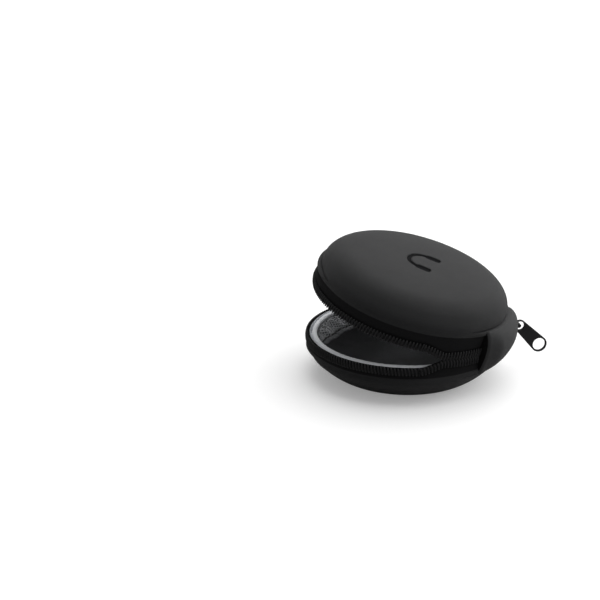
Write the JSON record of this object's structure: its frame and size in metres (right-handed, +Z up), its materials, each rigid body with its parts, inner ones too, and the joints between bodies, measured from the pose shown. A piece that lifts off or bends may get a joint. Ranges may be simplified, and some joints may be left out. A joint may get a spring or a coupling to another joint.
{
  "type": "zipped earphone carrying case",
  "caption": "Round moulded clamshell case for earphones with a fabric hinge panel, a coil zip round the rim, a slider with a pull tab, and an inner net pocket.",
  "frame": {"origin": "middle of the base's flat underside, on the surface it stands on", "axes": "+Z up, away from the surface; +X towards the side with the hinge and the zip pull; the hinge panel's middle lies 24 degrees from +X towards -Y"},
  "size_m": [0.1006, 0.0809, 0.0539],
  "materials": {
    "skin": "matte",
    "foam": "matte",
    "lining": "matte",
    "binding": "matte",
    "zip_tape": "matte",
    "zip_teeth": "satin",
    "hinge_fabric": "matte",
    "slider_metal": "satin",
    "pull_metal": "satin",
    "net": "matte",
    "elastic": "matte"
  },
  "bodies": {
    "base": {"base_skin": "skin", "base_core": "foam", "base_lining": "lining", "base_binding": "binding", "base_zip_tape": "zip_tape", "base_zip_teeth": "zip_teeth", "base_tape_front_end": "zip_tape", "base_teeth_front_end": "zip_teeth", "hinge_panel": "hinge_fabric", "hinge_lining": "lining", "mesh_pocket": "net", "pocket_elastic": "elastic", "pocket_binding": "lining"},
    "lid": {"lid_skin": "skin", "lid_core": "foam", "lid_lining": "lining", "lid_binding": "binding", "lid_zip_tape": "zip_tape", "lid_zip_teeth": "zip_teeth", "lid_tape_front_end": "zip_tape", "lid_teeth_front_end": "zip_teeth", "lid_tape_rear_end": "zip_tape", "lid_teeth_rear_end": "zip_teeth"},
    "slider": {"slider_body": "slider_metal", "slider_crown": "slider_metal"},
    "pull": {"pull_tab": "pull_metal"}
  },
  "joints": [
    {"name": "lid_hinge", "type": "hinge", "parent": "base", "child": "lid", "pos_m": [0.04202, -0.01871, 0.017], "axis": [0.4067, 0.9135, 0], "range_deg": [-15, 85], "deforming": ["hinge_panel", "hinge_lining", "base_tape_front_end", "base_teeth_front_end", "lid_tape_front_end", "lid_teeth_front_end", "lid_tape_rear_end", "lid_teeth_rear_end"]},
    {"name": "slider_travel", "type": "hinge", "parent": "base", "child": "slider", "pos_m": [0, 0, 0.017], "axis": [0, 0, 1], "range_deg": [0, 293]},
    {"name": "pull_swing", "type": "hinge", "parent": "slider", "child": "pull", "pos_m": [0.04774, 0.00799, 0.017], "axis": [0.165, -0.9863, 0], "range_deg": [-40, 130]}
  ]
}
